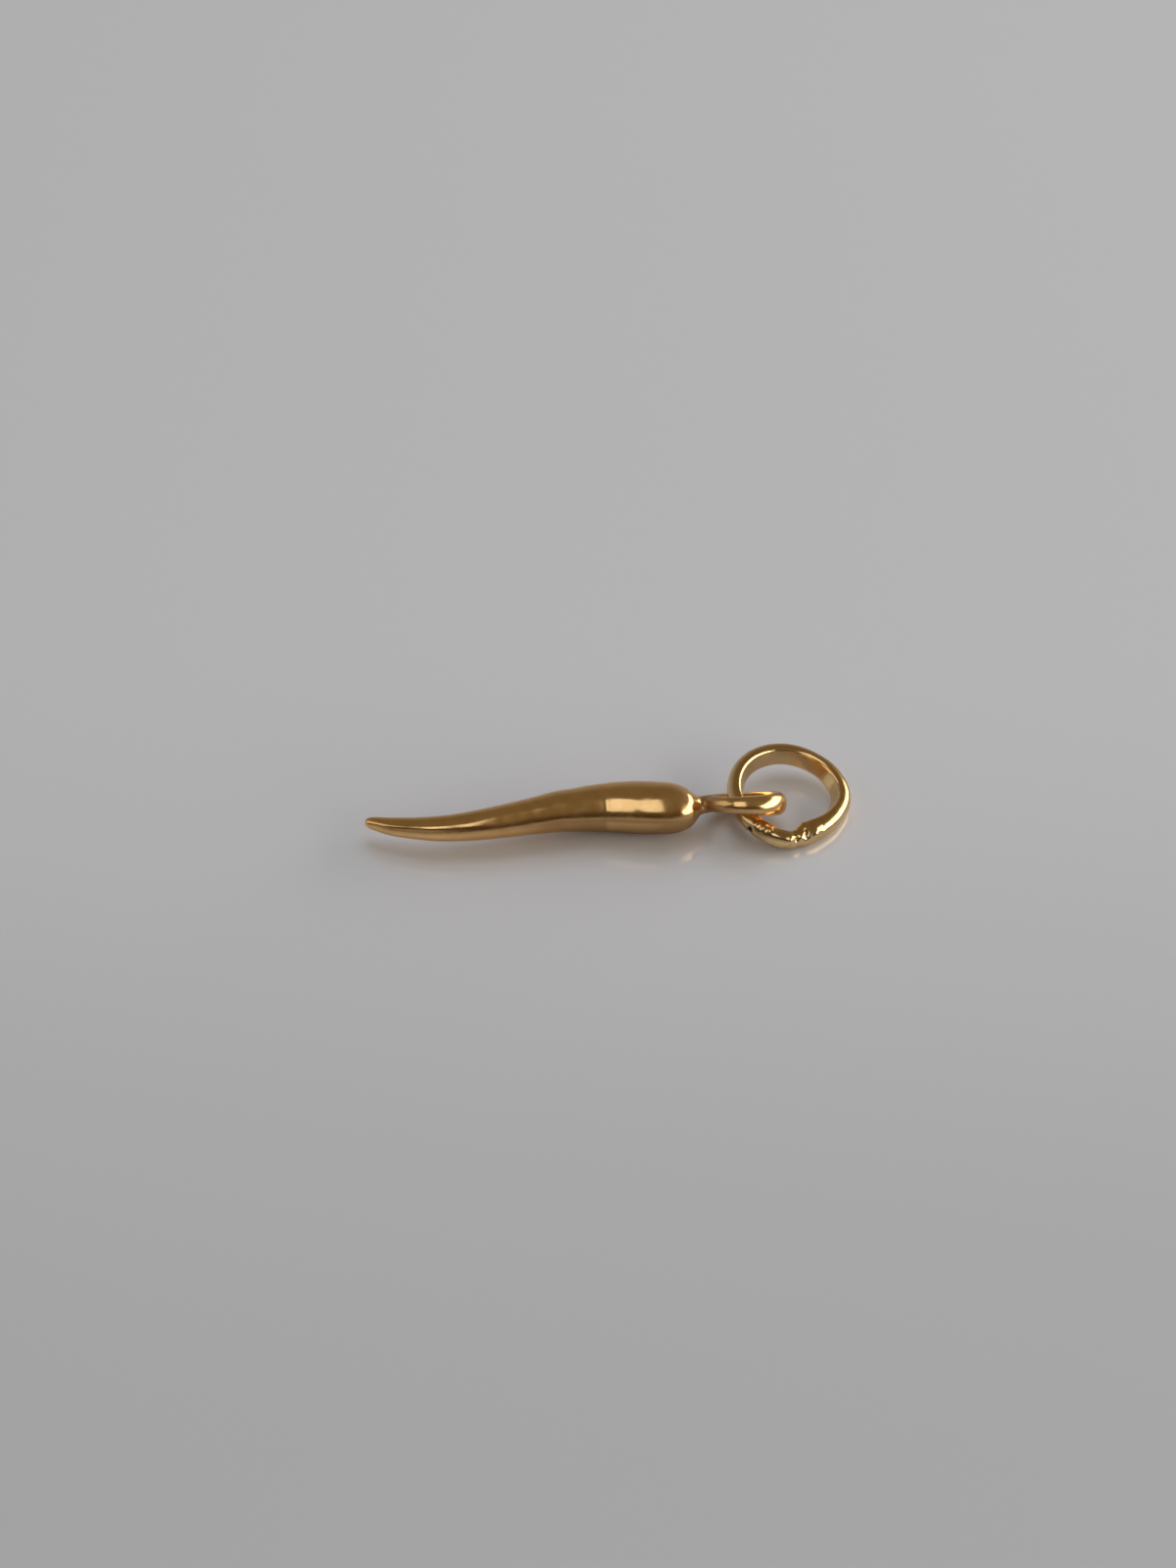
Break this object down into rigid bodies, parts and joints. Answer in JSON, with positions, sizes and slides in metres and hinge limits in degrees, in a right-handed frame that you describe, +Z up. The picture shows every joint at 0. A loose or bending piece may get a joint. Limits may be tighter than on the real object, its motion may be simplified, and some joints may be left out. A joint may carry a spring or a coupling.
{
  "type": "cornicello horn pendant",
  "caption": "Small curved gold horn charm with a soldered loop at its head, lying flat, and a plain band bail linked through the loop for a chain.",
  "frame": {"origin": "on the surface that the pendant lies on, under the middle of its length and width", "axes": "+X from the horn's tip to the bail, +Y away from the viewer, +Z up from the surface"},
  "size_m": [0.0284, 0.0076, 0.0032],
  "materials": {
    "horn_gold": "polished yellow gold, softly worn",
    "bail_gold": "polished yellow gold, slightly paler, with marks of the soldering"
  },
  "bodies": {
    "root": {"horn": "horn_gold", "bail": "bail_gold"}
  },
  "joints": []
}
